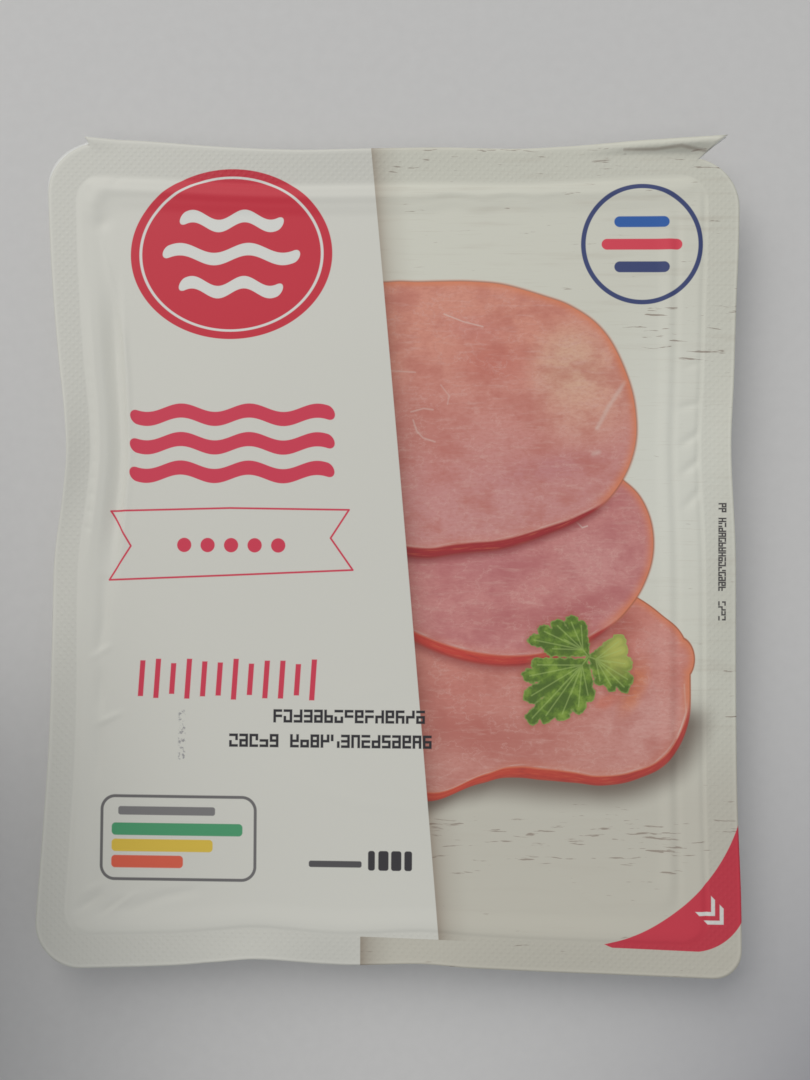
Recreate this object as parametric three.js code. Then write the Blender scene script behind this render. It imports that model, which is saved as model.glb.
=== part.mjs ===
// A sealed pack of sliced bacon: a shallow formed tray with a flat sealing flange all round, filled with
// slices, and an opaque lid film sealed to the flange and sucked down a little over what is inside.
// Millimetres, +Z up. The origin is on the table, under the middle of the pack's straight-sided plan.
// +Y is the top of the printed face and +X its right.
import * as THREE from "three";

// Overall sizes.
const PACK_WIDTH = 165;
const PACK_LENGTH = 197;
const RIM_HEIGHT = 11.5;

// Thicknesses. The two webs are drawn thicker than real ones, so that each is a sound solid.
const FILM_THICKNESS = 0.6;
const FLANGE_THICKNESS = 0.7;
const SEAL_GAP = 0.3;

// Width of the sealed flange on each side, and the corner radii that the punch and the forming tool leave.
// A corner over the cavity grows rounder inwards, up to a share of the loop's shorter side.
const FLANGE = { left: 6.8, right: 7.6, bottom: 7.6, top: 8.6 };
const OUTER_RADII = { bottomRight: 6.5, topRight: 12.5, topLeft: 13, bottomLeft: 11 };
const CAVITY_RADIUS = 6.5;
const RADIUS_GROWTH = 0.35;
const ROUNDEST_SHARE = 0.45;

// Tray below the flange: sloping walls, a rounded foot and a flat floor.
const WALL_INSET = 0.8;
const WALL_DROP = 0.5;
const WALL_DRAFT = THREE.MathUtils.degToRad(14);
const FOOT_RADIUS = 3.5;
const FOOT_STEPS = 4;

// How far the vacuum has drawn each side in, as knots of the place along it and the distance.
// The pull fades towards the middle of the pack with this power.
const PULL_FADE = 3;
const DRAWN = {
  left: [
    [-98.5, -0.4], [-87, -0.2], [-70, 1.0], [-50, 2.2], [-36, 2.5], [-6, 2.25], [2, 2.9], [10, 4.2], [20, 5.5],
    [26, 5.6], [35, 4.7], [45, 3.2], [60, 1.55], [80, 0.1], [98.5, -0.4],
  ],
  right: [
    [-98.5, 0.1], [-80, 0.25], [-60, 0.95], [-45, 1.1], [-12, 1.0], [2, 1.25], [20, 2.4], [28, 2.45], [42, 1.6],
    [60, 0.9], [75, 0.25], [98.5, 0],
  ],
  bottom: [
    [-82.5, 0], [-72, 0.2], [-50, 1.2], [-40, 2.3], [-30, 3.25], [-15, 1.9], [-8, 1.7], [8, 2.7], [20, 1.75],
    [36, 0.95], [60, 0.4], [82.5, 0],
  ],
  top: [
    [-82.5, -0.7], [-72, -0.5], [-60, 0.05], [-40, 1.7], [-22, 2.55], [-8, 2.4], [12, 2.2], [30, 2.5], [42, 1.9],
    [60, 0.7], [82.5, 0],
  ],
};

// Rise and fall of the flange's free edge along each side. It starts at this share of the way out.
const BUCKLE_START = 0.8;
const BUCKLES = [
  { side: "left", at: 24, length: 12, rise: 1.5 },
  { side: "left", at: -8, length: 16, rise: -1.2 },
  { side: "left", at: -50, length: 24, rise: 0.7 },
  { side: "right", at: 23, length: 13, rise: 1.1 },
  { side: "right", at: -20, length: 18, rise: -0.8 },
  { side: "bottom", at: -31, length: 9, rise: 1.0 },
  { side: "bottom", at: -11, length: 8, rise: -0.8 },
  { side: "bottom", at: 9.5, length: 9, rise: 0.9 },
  { side: "bottom", at: 45, length: 18, rise: -0.6 },
  { side: "top", at: 0, length: 32, rise: 0.8 },
];

// The strip along the top right edge that curls up.
const CURL = { from: 34, to: 56, width: 2.7, rise: 2.2 };

// The corner punch stops short of the top edge, and leaves a horn over a notch at the top right and a spur at
// the top left. Each mark is a step of the corner's arc and how far it is moved; the flange follows some.
const PUNCH_DROP = 4.3;
const PUNCH_MARKS = [
  ...[0, 1, 2, 3, 4].map((step) => ({ corner: "topRight", step, move: [0, -PUNCH_DROP, 0], followed: true })),
  { corner: "topRight", step: 5, move: [9.0, -0.1, 1.4], followed: false },
  { corner: "topLeft", step: 0, move: [-4.5, 0.7, 0.4], followed: false },
  { corner: "topLeft", step: 1, move: [0.6, -0.7, 0], followed: true },
  { corner: "topLeft", step: 2, move: [0, -0.6, 0], followed: true },
  { corner: "topLeft", step: 3, move: [0, -0.4, 0], followed: true },
];

// How the film runs inwards from each side, as knots of the depth in from the cavity's edge and the height over
// the rim. Beside the empty left end it is sucked into a groove, fading along the side between these places.
const PROFILES = {
  left: [[0, 0], [1.2, 0.1], [3.2, 0.04], [6, -0.1], [9, 0.02], [14, 0.12], [40, 0.45]],
  right: [[0, 0], [1.2, 0.06], [5.2, 0.05], [7.8, 0.26], [10.2, 0.02], [16, 0.1], [40, 0.45]],
  bottom: [[0, 0], [0.9, 0.3], [2.2, 0.34], [6.5, 0.05], [12, 0.04], [40, 0.45]],
  top: [[0, 0], [1.2, 0.16], [3.4, 0.44], [5.4, 0.25], [8.2, 0.02], [14, 0.05], [40, 0.45]],
};
const GROOVE = [[0, 0], [0.6, -0.02], [2.9, -1.15], [4.4, -0.85], [6.8, 0.16], [8.2, 0.02], [12, 0.1], [40, 0.45]];
const GROOVE_TOP = { none: 70, full: 46 };
const GROOVE_BOTTOM = { none: -14, full: 12 };
const SIDE_BLEND = 4;
const LEAST_DISTANCE = 0.2;

// How finely the loops are cut.
const LONG_STEPS = 26;
const SHORT_STEPS = 22;
const CORNER_STEPS = 5;
const FLANGE_SHARES = [0, 0.32, 0.66, 1];
const FILM_DEPTHS = [1.3, 2.6, 4, 5.6, 7.6, 10, 14, 19, 25, 33, 42, 52, 62, 70];
const UNDER_SHARES = [0, 0.32, 1];
const UNDER_DEPTHS = [2.6, 5.6, 10, 19, 33, 52, 70];

const SIDES = ["left", "right", "bottom", "top"];
const HALF_WIDTH = PACK_WIDTH / 2;
const HALF_LENGTH = PACK_LENGTH / 2;

const swell = (value, bump) => Math.exp(-0.5 * ((value - bump.at) / bump.length) ** 2);
const smooth = (value, from, to) => THREE.MathUtils.smoothstep(value, from, to);

// A smooth line through knots, with the slope at each taken from its neighbours.
function lineThrough(knots, value) {
  const last = knots.length - 1;
  const slope = (index) => {
    const [before, after] = [knots[Math.max(0, index - 1)], knots[Math.min(last, index + 1)]];
    return (after[1] - before[1]) / (after[0] - before[0]);
  };
  const passed = knots.findIndex(([place]) => place > value);
  const index = Math.max(0, (passed < 0 ? last : passed) - 1);
  const [low, high] = [knots[index], knots[index + 1]];
  const span = high[0] - low[0];
  const share = THREE.MathUtils.clamp((value - low[0]) / span, 0, 1);
  const bend = smooth(share, 0, 1);
  const lean = slope(index) * (1 - share) - slope(index + 1) * share;
  return THREE.MathUtils.lerp(low[1], high[1], bend) + span * share * (1 - share) * lean;
}

// Where a point lies, seen from one side: along that side, how far it is from the middle towards it
// (1 at the edge), and how far the middle is from it.
function seenFrom(side, x, y) {
  if (side === "left") return { along: y, towards: -x / HALF_WIDTH, reach: HALF_WIDTH };
  if (side === "right") return { along: y, towards: x / HALF_WIDTH, reach: HALF_WIDTH };
  if (side === "bottom") return { along: x, towards: -y / HALF_LENGTH, reach: HALF_LENGTH };
  return { along: x, towards: y / HALF_LENGTH, reach: HALF_LENGTH };
}

// Moves a point of the straight-sided plan to where the vacuum has drawn it.
function drawnIn(x, y) {
  const moved = new THREE.Vector2(x, y);
  for (const side of SIDES) {
    const { along, towards } = seenFrom(side, x, y);
    const shift = lineThrough(DRAWN[side], along) * Math.max(0, towards) ** PULL_FADE;
    if (side === "left") moved.x += shift;
    if (side === "right") moved.x -= shift;
    if (side === "bottom") moved.y += shift;
    if (side === "top") moved.y -= shift;
  }
  return moved;
}

// Height of the free flange above the rim, growing towards its outer edge.
function flangeLift(x, y, share) {
  let lift = 0;
  for (const buckle of BUCKLES) {
    const { along, towards } = seenFrom(buckle.side, x, y);
    lift += buckle.rise * swell(along, buckle) * smooth(towards, BUCKLE_START, 1);
  }
  return lift * (1 - share);
}

// Height of the film above the rim, as one side alone would have it.
function sideLift(side, along, depth) {
  const lift = lineThrough(PROFILES[side], depth);
  if (side !== "left") return lift;
  const above = 1 - smooth(along, GROOVE_TOP.full, GROOVE_TOP.none);
  const below = smooth(along, GROOVE_BOTTOM.none, GROOVE_BOTTOM.full);
  return THREE.MathUtils.lerp(lift, lineThrough(GROOVE, depth), above * below);
}

// Height of the lid film over the cavity, above the rim: each side is felt more the nearer it is.
function filmLift(x, y) {
  const near = {};
  let felt = 0;
  for (const side of SIDES) {
    const { towards, reach } = seenFrom(side, x, y);
    near[side] = Math.max(LEAST_DISTANCE, reach * (1 - towards) - FLANGE[side]) ** -SIDE_BLEND;
    felt += near[side];
  }
  const depth = felt ** (-1 / SIDE_BLEND);
  const lifts = SIDES.map((side) => near[side] * sideLift(side, seenFrom(side, x, y).along, depth));
  return lifts.reduce((sum, lift) => sum + lift, 0) / felt;
}

// One loop of the straight-sided plan, counter-clockwise along the bottom from the bottom left corner.
// bounds is the rectangle, radii the four corner radii.
function planLoop(bounds, radii) {
  const corners = [
    { x: bounds.right, y: bounds.bottom, radius: radii.bottomRight, turn: -0.5, steps: SHORT_STEPS },
    { x: bounds.right, y: bounds.top, radius: radii.topRight, turn: 0, steps: LONG_STEPS },
    { x: bounds.left, y: bounds.top, radius: radii.topLeft, turn: 0.5, steps: SHORT_STEPS },
    { x: bounds.left, y: bounds.bottom, radius: radii.bottomLeft, turn: 1, steps: LONG_STEPS },
  ];
  const arcs = corners.map((corner) => {
    const centre = new THREE.Vector2(
      corner.x - Math.sign(corner.x) * corner.radius,
      corner.y - Math.sign(corner.y) * corner.radius,
    );
    return Array.from({ length: CORNER_STEPS + 1 }, (_, step) => {
      const angle = Math.PI * (corner.turn + (0.5 * step) / CORNER_STEPS);
      return new THREE.Vector2(Math.cos(angle), Math.sin(angle)).multiplyScalar(corner.radius).add(centre);
    });
  });
  const points = [];
  arcs.forEach((arc, index) => {
    const before = arcs[(index + 3) % 4].at(-1);
    const steps = corners[index].steps;
    for (let step = 1; step < steps; step++) points.push(before.clone().lerp(arc[0], step / steps));
    points.push(...arc);
  });
  return points;
}

// Loop on the flange: share 0 is the punched edge, 1 the edge of the cavity.
function flangePlan(share) {
  const bounds = {
    left: -HALF_WIDTH + share * FLANGE.left,
    right: HALF_WIDTH - share * FLANGE.right,
    bottom: -HALF_LENGTH + share * FLANGE.bottom,
    top: HALF_LENGTH - share * FLANGE.top,
  };
  const radii = {};
  for (const [corner, radius] of Object.entries(OUTER_RADII)) {
    radii[corner] = THREE.MathUtils.lerp(radius, CAVITY_RADIUS, share);
  }
  return planLoop(bounds, radii);
}

// Loop over the cavity, at one distance in from its edge.
function cavityPlan(depth) {
  const bounds = {
    left: -HALF_WIDTH + FLANGE.left + depth,
    right: HALF_WIDTH - FLANGE.right - depth,
    bottom: -HALF_LENGTH + FLANGE.bottom + depth,
    top: HALF_LENGTH - FLANGE.top - depth,
  };
  const most = ROUNDEST_SHARE * Math.min(bounds.right - bounds.left, bounds.top - bounds.bottom);
  const radius = Math.min(CAVITY_RADIUS + RADIUS_GROWTH * depth, most);
  return planLoop(bounds, { bottomRight: radius, topRight: radius, topLeft: radius, bottomLeft: radius });
}

const lifted = (point, height) => new THREE.Vector3(point.x, point.y, height);

// Moves the marked steps of the corners of a plan loop, and lifts them.
function addPunchMarks(loop, share) {
  const corners = ["bottomRight", "topRight", "topLeft", "bottomLeft"];
  const starts = [0, 1, 2, 3].map((corner) => {
    const shortSides = Math.ceil((corner + 1) / 2);
    const longSides = Math.floor((corner + 1) / 2);
    return shortSides * (SHORT_STEPS - 1) + longSides * (LONG_STEPS - 1) + corner * (CORNER_STEPS + 1);
  });
  for (const { corner, step, move, followed } of PUNCH_MARKS) {
    const weight = followed ? 1 - share : Number(share === 0);
    const point = loop[starts[corners.indexOf(corner)] + step];
    point.add(new THREE.Vector3(...move).multiplyScalar(weight));
  }
}

// Curl of the top right edge strip at a point of the plan.
function curlLift(x, y) {
  const inFromEdge = HALF_LENGTH - y;
  return CURL.rise * smooth(x, CURL.from, CURL.to) * (1 - smooth(inFromEdge, 0, CURL.width));
}

// Flange loop in space, its top face at the rim height less what lies above.
function flangeLoop(share, below) {
  const plan = flangePlan(share).map((point) => lifted(point, 0));
  addPunchMarks(plan, share);
  return plan.map(({ x, y, z }) => {
    const lift = flangeLift(x, y, share) + curlLift(x, y) + z;
    return lifted(drawnIn(x, y), RIM_HEIGHT - below + lift);
  });
}

// Film loop over the cavity in space.
function cavityLoop(depth, below) {
  return cavityPlan(depth).map((point) =>
    lifted(drawnIn(point.x, point.y), RIM_HEIGHT - below + filmLift(point.x, point.y)),
  );
}

// Closed surface through a row of loops: top runs from the middle out to the edge, underside from the edge
// back to the middle. The ends are closed by fans. Each face is split along the same diagonal above and
// below, so that two webs that follow each other stay the same distance apart.
function closedThrough(top, underside) {
  const loops = [...top, ...underside];
  const count = top[0].length;
  const positions = loops.flat().flatMap((point) => point.toArray());
  const index = [];
  for (let ring = 0; ring < loops.length - 1; ring++) {
    for (let step = 0; step < count; step++) {
      const next = (step + 1) % count;
      const [here, beside] = [ring * count + step, ring * count + next];
      const [beyond, across] = [here + count, beside + count];
      if (ring < top.length) index.push(here, beyond, beside, beside, beyond, across);
      else index.push(here, beyond, across, here, across, beside);
    }
  }
  const ends = [
    { loop: loops[0], first: 0, upward: true },
    { loop: loops.at(-1), first: (loops.length - 1) * count, upward: false },
  ];
  for (const { loop, first, upward } of ends) {
    const middle = loop.reduce((sum, point) => sum.add(point), new THREE.Vector3()).divideScalar(count);
    const tip = positions.length / 3;
    positions.push(...middle.toArray());
    for (let step = 0; step < count; step++) {
      const next = (step + 1) % count;
      if (upward) index.push(tip, first + step, first + next);
      else index.push(tip, first + next, first + step);
    }
  }
  const geometry = new THREE.BufferGeometry();
  geometry.setAttribute("position", new THREE.Float32BufferAttribute(positions, 3));
  geometry.setIndex(index);
  geometry.computeVertexNormals();
  return geometry;
}

// The printed lid film, from edge to edge of the pack.
function lidFilm() {
  const top = [
    ...FILM_DEPTHS.toReversed().map((depth) => cavityLoop(depth, 0)),
    ...FLANGE_SHARES.toReversed().map((share) => flangeLoop(share, 0)),
  ];
  const underside = [
    ...UNDER_SHARES.map((share) => flangeLoop(share, FILM_THICKNESS)),
    ...UNDER_DEPTHS.map((depth) => cavityLoop(depth, FILM_THICKNESS)),
  ];
  return closedThrough(top, underside);
}

// Level loop of the tray's wall or foot, at one distance in from the cavity's edge.
function lowLoop(inset, height) {
  return cavityPlan(inset).map((point) => lifted(drawnIn(point.x, point.y), height));
}

// The formed tray with the slices in it: as the pack is shut and opaque, it is one solid up to the film.
function filledTray() {
  const under = FILM_THICKNESS + SEAL_GAP;
  const flangeBase = under + FLANGE_THICKNESS;
  const top = [
    ...UNDER_DEPTHS.toReversed().map((depth) => cavityLoop(depth, under)),
    ...UNDER_SHARES.toReversed().map((share) => flangeLoop(share, under)),
  ];
  const flangeUnderside = UNDER_SHARES.map((share) => flangeLoop(share, flangeBase));
  const wallTop = RIM_HEIGHT - flangeBase - WALL_DROP;
  const wallRun = (wallTop - FOOT_RADIUS) * Math.tan(WALL_DRAFT);
  const wall = [lowLoop(WALL_INSET, wallTop)];
  for (let step = 0; step <= FOOT_STEPS; step++) {
    const angle = (0.5 * Math.PI * step) / FOOT_STEPS;
    const inset = WALL_INSET + wallRun + FOOT_RADIUS * (1 - Math.cos(angle));
    wall.push(lowLoop(inset, FOOT_RADIUS * (1 - Math.sin(angle))));
  }
  return closedThrough(top, [...flangeUnderside, ...wall]);
}

const filmFinish = new THREE.MeshStandardMaterial({ color: "#dcdbd0", roughness: 0.38, metalness: 0 });
const trayFinish = new THREE.MeshStandardMaterial({ color: "#e4e4de", roughness: 0.3, metalness: 0 });

const film = new THREE.Mesh(lidFilm(), filmFinish);
film.name = "lid_film";
const tray = new THREE.Mesh(filledTray(), trayFinish);
tray.name = "filled_tray";

const pack = new THREE.Group();
pack.add(tray, film);

export default pack;
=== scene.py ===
import math

import bpy
import numpy as np
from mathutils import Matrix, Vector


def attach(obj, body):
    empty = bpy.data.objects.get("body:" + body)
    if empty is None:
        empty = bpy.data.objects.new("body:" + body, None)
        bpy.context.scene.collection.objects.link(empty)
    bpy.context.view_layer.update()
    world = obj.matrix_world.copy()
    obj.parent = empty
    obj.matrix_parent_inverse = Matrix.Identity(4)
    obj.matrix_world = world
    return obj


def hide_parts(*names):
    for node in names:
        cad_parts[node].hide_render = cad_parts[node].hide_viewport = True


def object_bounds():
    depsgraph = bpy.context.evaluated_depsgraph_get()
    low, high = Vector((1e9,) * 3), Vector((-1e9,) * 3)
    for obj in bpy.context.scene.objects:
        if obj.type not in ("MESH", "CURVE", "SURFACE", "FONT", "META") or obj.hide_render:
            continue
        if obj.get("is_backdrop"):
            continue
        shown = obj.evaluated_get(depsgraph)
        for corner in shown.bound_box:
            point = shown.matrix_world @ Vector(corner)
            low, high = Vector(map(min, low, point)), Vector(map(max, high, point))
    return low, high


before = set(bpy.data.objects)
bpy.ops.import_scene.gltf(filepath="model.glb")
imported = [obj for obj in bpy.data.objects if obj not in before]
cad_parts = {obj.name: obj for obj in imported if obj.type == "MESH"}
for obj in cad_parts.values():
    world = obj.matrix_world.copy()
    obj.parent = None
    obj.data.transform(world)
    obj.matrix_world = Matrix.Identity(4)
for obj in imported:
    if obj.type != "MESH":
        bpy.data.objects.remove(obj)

cad_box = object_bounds()

# The camera: hand-held almost straight above the pack, which lies printed side up on a sheet of pale paper.
# Its place and turn put the flange's four corners where the photograph has them.
MM = 0.001
VIEW_ANGLE = 55.0
CAMERA_PLACE = (10.24, -4.27, 256.24)
CAMERA_TURN = (1.680, 1.504, 0.369)
NEAREST_SEEN = 10

camera = bpy.data.objects.new("camera", bpy.data.cameras.new("camera"))
bpy.context.collection.objects.link(camera)
camera.data.angle = math.radians(VIEW_ANGLE)
camera.data.clip_start = MM * NEAREST_SEEN
camera.location = [MM * value for value in CAMERA_PLACE]
camera.rotation_euler = [math.radians(value) for value in CAMERA_TURN]
bpy.context.scene.camera = camera
bpy.context.scene.view_settings.view_transform = "Standard"


# The sheet of paper under the pack: smooth and matt, a little cool, with a very faint grain. It lies loose on
# the table, a hair below the tray's foot, and a painted shade darkens it softly towards the lower corners,
# away from the window.
INK_LIGHT = 0.62
BRIGHTEST_INK = 0.9


class Value:
    """A socket of a shader that sums can be written with. Each sum adds its own node."""

    def __init__(self, socket):
        self.socket = socket
        self.tree = socket.id_data

    def node(self, kind, settings, inputs, output=0):
        made = self.tree.nodes.new(kind)
        for name, setting in settings.items():
            setattr(made, name, setting)
        for name, value in inputs.items():
            if isinstance(value, Value):
                self.tree.links.new(value.socket, made.inputs[name])
            else:
                made.inputs[name].default_value = value
        return Value(made.outputs[output])

    def sum(self, operation, *others, clamp=False):
        inputs = dict(enumerate((self,) + others))
        return self.node("ShaderNodeMath", {"operation": operation, "use_clamp": clamp}, inputs)

    def __add__(self, other):
        return self.sum("ADD", other)

    __radd__ = __add__

    def __sub__(self, other):
        return self.sum("SUBTRACT", other)

    def __rsub__(self, other):
        return self.node("ShaderNodeMath", {"operation": "SUBTRACT"}, {0: other, 1: self})

    def __mul__(self, other):
        return self.sum("MULTIPLY", other)

    __rmul__ = __mul__

    def __truediv__(self, other):
        return self.sum("DIVIDE", other)

    def __neg__(self):
        return self.sum("MULTIPLY", -1.0)

    def __abs__(self):
        return self.sum("ABSOLUTE")

    def clamped(self):
        return self.sum("ADD", 0.0, clamp=True)

    def smooth(self, low, high):
        """0 below low and 1 above high, eased between; low may be the higher one."""
        inputs = {"Value": self, "From Min": low, "From Max": high}
        return self.node("ShaderNodeMapRange", {"interpolation_type": "SMOOTHSTEP"}, inputs)

    def vector(self, operation, *others, scale=None):
        """Vector Math; DOT_PRODUCT, LENGTH and DISTANCE give a number."""
        inputs = dict(enumerate((self,) + others))
        if scale is not None:
            inputs["Scale"] = scale
        output = 1 if operation in ("DOT_PRODUCT", "LENGTH", "DISTANCE") else 0
        return self.node("ShaderNodeVectorMath", {"operation": operation}, inputs, output)

    def parts(self):
        split = self.node("ShaderNodeSeparateXYZ", {}, {0: self})
        return [Value(output) for output in split.socket.node.outputs]

    def curve(self, knots):
        """A smooth curve through knots of (value, result), both from 0 to 1."""
        made = self.node("ShaderNodeFloatCurve", {}, {"Value": self})
        line = made.socket.node.mapping.curves[0]
        while len(line.points) < len(knots):
            line.points.new(0.5, 0.5)
        for point, knot in zip(line.points, knots):
            point.location = knot
        made.socket.node.mapping.update()
        return made

    def noise(self, scale, detail=2.0, roughness=0.5):
        inputs = {"Vector": self, "Scale": scale, "Detail": detail, "Roughness": roughness}
        return self.node("ShaderNodeTexNoise", {}, inputs)

    def stretched(self, pitch, detail, roughness=0.5, start=None):
        """Noise with its own pitch along each axis."""
        place = self.vector("MULTIPLY", pitch)
        if start:
            place = place.vector("ADD", start)
        return place.noise(1.0, detail, roughness)

    def joined(self, first, second, third):
        return self.node("ShaderNodeCombineXYZ", {}, {0: first, 1: second, 2: third})

    def root(self):
        return self.sum("SQRT")

    def risen(self):
        """The value where it is above 0, and 0 elsewhere."""
        return self.sum("MAXIMUM", 0.0)


def mixed(mask, under, over):
    """One colour over another where the mask is 1."""
    maker = mask if isinstance(mask, Value) else under
    return maker.node("ShaderNodeMix", {"data_type": "RGBA"}, {0: mask, 6: under, 7: over}, 2)


def ink(red, green, blue):
    """A surface's own colour, from how it looks in light that shows white at INK_LIGHT of full."""
    shares = [value / 255 for value in (red, green, blue)]
    linear = [share / 12.92 if share <= 0.04045 else ((share + 0.055) / 1.055) ** 2.4 for share in shares]
    return tuple(min(BRIGHTEST_INK, value / INK_LIGHT) for value in linear) + (1.0,)


def new_material(name):
    """A material with one Principled shader, and where a point of the surface is, in millimetres."""
    material = bpy.data.materials.new(name)
    material.use_nodes = True
    shader = material.node_tree.nodes["Principled BSDF"]
    coordinates = material.node_tree.nodes.new("ShaderNodeTexCoord")
    place = Value(coordinates.outputs["Object"]).vector("SCALE", scale=1 / MM)
    return material, shader, place


def bumped(shader, height, distance, strength=1.0):
    """Feeds a height, in parts of distance, to the shader's normal."""
    inputs = {"Height": height, "Distance": distance, "Strength": strength}
    normal = height.node("ShaderNodeBump", {}, inputs)
    normal.tree.links.new(normal.socket, shader.inputs["Normal"])


def fed(shader, name, value):
    value.tree.links.new(value.socket, shader.inputs[name])


def flat_sheet(name, left, right, near, far, height):
    """A level rectangle, with its edges in millimetres."""
    mesh = bpy.data.meshes.new(name)
    corners = ((left, near), (right, near), (right, far), (left, far))
    mesh.from_pydata([(MM * x, MM * y, MM * height) for x, y in corners], [], [(0, 1, 2, 3)])
    sheet = bpy.data.objects.new(name, mesh)
    bpy.context.collection.objects.link(sheet)
    return sheet


PAPER_REACH = 1200
PAPER_TOP = -0.05
PAPER_COLOUR = ink(184, 183, 182)
PAPER_DARK = ink(179, 178, 177)
PAPER_SHADE = ink(120, 120, 127)
PAPER_GRAIN = 0.35
PAPER_ROUGHNESS = 0.85
SHADE_START = 22
SHADE_SPAN = (104, 128)
SHADE_ON_LEFT = -0.25
SHADE_STRENGTH, SHADE_MOST = 0.5, 0.8

paper = flat_sheet("paper", -PAPER_REACH, PAPER_REACH, -PAPER_REACH, PAPER_REACH, PAPER_TOP)
paper_finish, shader, place = new_material("paper")
x, y, _ = place.parts()
# Painted shade: the paper darkens towards the lower corners, less on the left.
across = x.sum("MAXIMUM", x * SHADE_ON_LEFT) / SHADE_SPAN[0]
down = ((SHADE_START - y) / SHADE_SPAN[1]).risen()
shade = (across * across * down * down * SHADE_STRENGTH).sum("MINIMUM", SHADE_MOST)
grained = mixed(place.noise(PAPER_GRAIN, 3.0), PAPER_COLOUR, PAPER_DARK)
fed(shader, "Base Color", mixed(shade, grained, PAPER_SHADE))
shader.inputs["Roughness"].default_value = PAPER_ROUGHNESS
paper.data.materials.append(paper_finish)
paper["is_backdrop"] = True

# The light: one wide soft window at the upper left, an even dim room, and a small round ceiling lamp whose
# reflection lies low on the pack. Both lights face the middle of the pack.
ROOM_COLOUR = (0.93, 0.96, 1.0, 1.0)
ROOM_STRENGTH = 0.335
LIGHT_COLOUR = (1.0, 0.985, 0.95)
WINDOW_SIZE = (1900, 1350)
WINDOW_PLACE = (-760, 1160, 1400)
WINDOW_POWER = 17.8
LAMP_SIZE = (260, 260)
LAMP_PLACE = (-60, -330, 800)
LAMP_POWER = 0.42

world = bpy.data.worlds.new("room")
bpy.context.scene.world = world
world.use_nodes = True
world.node_tree.nodes["Background"].inputs["Color"].default_value = ROOM_COLOUR
world.node_tree.nodes["Background"].inputs["Strength"].default_value = ROOM_STRENGTH
for name, shape, size, place, power in (
        ("window", "RECTANGLE", WINDOW_SIZE, WINDOW_PLACE, WINDOW_POWER),
        ("lamp", "DISK", LAMP_SIZE, LAMP_PLACE, LAMP_POWER)):
    light = bpy.data.objects.new(name, bpy.data.lights.new(name, "AREA"))
    bpy.context.collection.objects.link(light)
    light.data.shape = shape
    light.data.size, light.data.size_y = [MM * value for value in size]
    light.data.energy = power
    light.data.color = LIGHT_COLOUR
    light.location = [MM * value for value in place]
    tilt = math.atan2(math.hypot(place[0], place[1]), place[2])
    light.rotation_euler = (tilt, 0, math.atan2(place[1], place[0]) + math.pi / 2)

# A dark card held low beside the pack, out of the picture at the lower left. It is plain matt board, and it
# takes some of the light from the pack's edge there. No view shows the card itself.
CARD_HEIGHT = 72
CARD_EDGES = (-185, -101, -150, 0)
CARD_INK, CARD_WORN_INK = (0.05, 0.05, 0.055, 1), (0.07, 0.07, 0.075, 1)
CARD_ROUGHNESS = 0.9

card = flat_sheet("card", *CARD_EDGES, CARD_HEIGHT)
card_finish, shader, place = new_material("card")
fed(shader, "Base Color", mixed(place.noise(0.05, 2.0), CARD_INK, CARD_WORN_INK))
shader.inputs["Roughness"].default_value = CARD_ROUGHNESS
card.data.materials.append(card_finish)
card.visible_camera = False
card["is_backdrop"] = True

# The lid film: a white web of polyester and polyethylene, printed on its face, sealed to the tray's flange by
# a dimpled plate and drawn down over the slices by the vacuum. Beside the seal it rolls over the tray's rim
# into a groove, and the flange itself is pinched in and buckled where the pull is strongest.
PACK_WIDTH = 165
PACK_LENGTH = 197
RIM_HEIGHT = 11.5
FILM_THICKNESS = 0.1
HALF_WIDTH = PACK_WIDTH / 2
HALF_LENGTH = PACK_LENGTH / 2
SIDES = ("left", "right", "bottom", "top")
FLANGE = {"left": 6.8, "right": 7.6, "bottom": 7.6, "top": 8.6}
CORNERS = ("bottom_right", "top_right", "top_left", "bottom_left")
OUTER_RADII = {"bottom_right": 6.5, "top_right": 12.5, "top_left": 13, "bottom_left": 11}
CAVITY_RADIUS = 6.5
RADIUS_GROWTH = 0.35
# How far the vacuum has drawn each side in, as places along it and distances. It fades towards the middle.
PULL_FADE = 3
DRAWN = {
    "left": ((-98.5, -0.4), (-87, -0.2), (-70, 1.0), (-50, 2.2), (-36, 2.5), (-6, 2.25), (2, 2.9), (10, 4.2),
             (20, 5.5), (26, 5.6), (35, 4.7), (45, 3.2), (60, 1.55), (80, 0.1), (98.5, -0.4)),
    "right": ((-98.5, 0.1), (-80, 0.25), (-60, 0.95), (-45, 1.1), (-12, 1.0), (2, 1.25), (20, 2.4),
              (28, 2.45), (42, 1.6), (60, 0.9), (75, 0.25), (98.5, 0)),
    "bottom": ((-82.5, 0), (-72, 0.2), (-50, 1.2), (-40, 2.3), (-30, 3.25), (-15, 1.9), (-8, 1.7), (8, 2.7),
               (20, 1.75), (36, 0.95), (60, 0.4), (82.5, 0)),
    "top": ((-82.5, -0.7), (-72, -0.5), (-60, 0.05), (-40, 1.7), (-22, 2.55), (-8, 2.4), (12, 2.2), (30, 2.5),
            (42, 1.9), (60, 0.7), (82.5, 0)),
}
BUCKLES = (
    ("left", 24, 12, 1.5),
    ("left", -8, 16, -1.2),
    ("left", -50, 24, 0.7),
    ("right", 23, 13, 1.1),
    ("right", -20, 18, -0.8),
    ("bottom", -31, 9, 1.0),
    ("bottom", -11, 8, -0.8),
    ("bottom", 9.5, 9, 0.9),
    ("bottom", 45, 18, -0.6),
    ("top", 0, 32, 0.8),
)


def ease(value, low, high):
    share = np.clip((value - low) / (high - low), 0, 1)
    return share * share * (3 - 2 * share)


def swell(value, at, length):
    return np.exp(-0.5 * ((value - at) / length) ** 2)


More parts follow.
